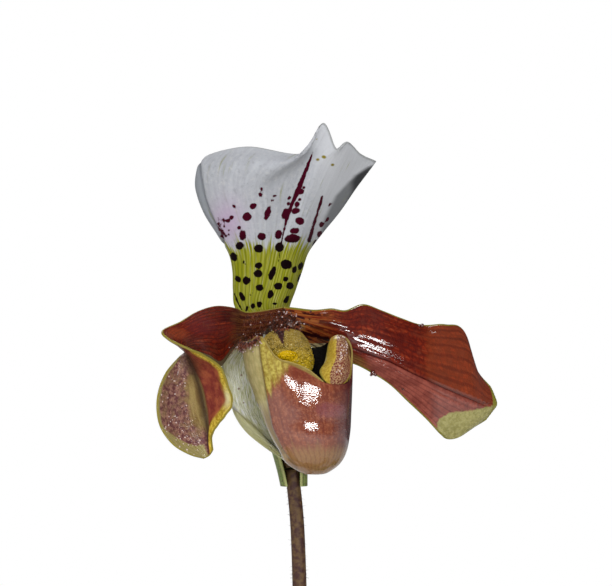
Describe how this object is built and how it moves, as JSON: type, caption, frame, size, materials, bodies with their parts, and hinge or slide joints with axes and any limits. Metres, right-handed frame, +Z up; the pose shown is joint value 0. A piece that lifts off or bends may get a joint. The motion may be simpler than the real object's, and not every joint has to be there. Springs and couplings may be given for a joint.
{
  "type": "potted slipper orchid",
  "caption": "Slipper orchid in a plain clay pot: an open bloom on an upright stalk above arching strap leaves, rooted in bark.",
  "frame": {"origin": "centre of the pot's flat base, where it stands", "axes": "+Z up the plant; the bloom faces -Y, turned towards +X"},
  "size_m": [0.2836, 0.1122, 0.3547],
  "materials": {
    "pot": "matte",
    "bark": "matte",
    "leaf": "satin",
    "sheath": "matte",
    "stalk": "matte",
    "bract": "satin",
    "dorsal": "satin",
    "petal": "gloss",
    "synsepal": "satin",
    "lip": "gloss",
    "column": "satin"
  },
  "bodies": {
    "root": {"pot": "pot", "bark_medium": "bark", "crown_old": "sheath", "crown_young": "sheath", "leaf_old_1": "leaf", "leaf_old_2": "leaf", "leaf_old_3": "leaf", "leaf_old_4": "leaf", "leaf_old_5": "leaf", "leaf_old_6": "leaf", "leaf_young_1": "leaf", "leaf_young_2": "leaf", "leaf_young_3": "leaf", "leaf_young_4": "leaf", "dorsal_sepal": "dorsal", "synsepal": "synsepal", "petal_left": "petal", "petal_right": "petal", "lip": "lip", "column": "column", "ovary": "stalk", "bract": "bract", "scape": "stalk"}
  },
  "joints": []
}
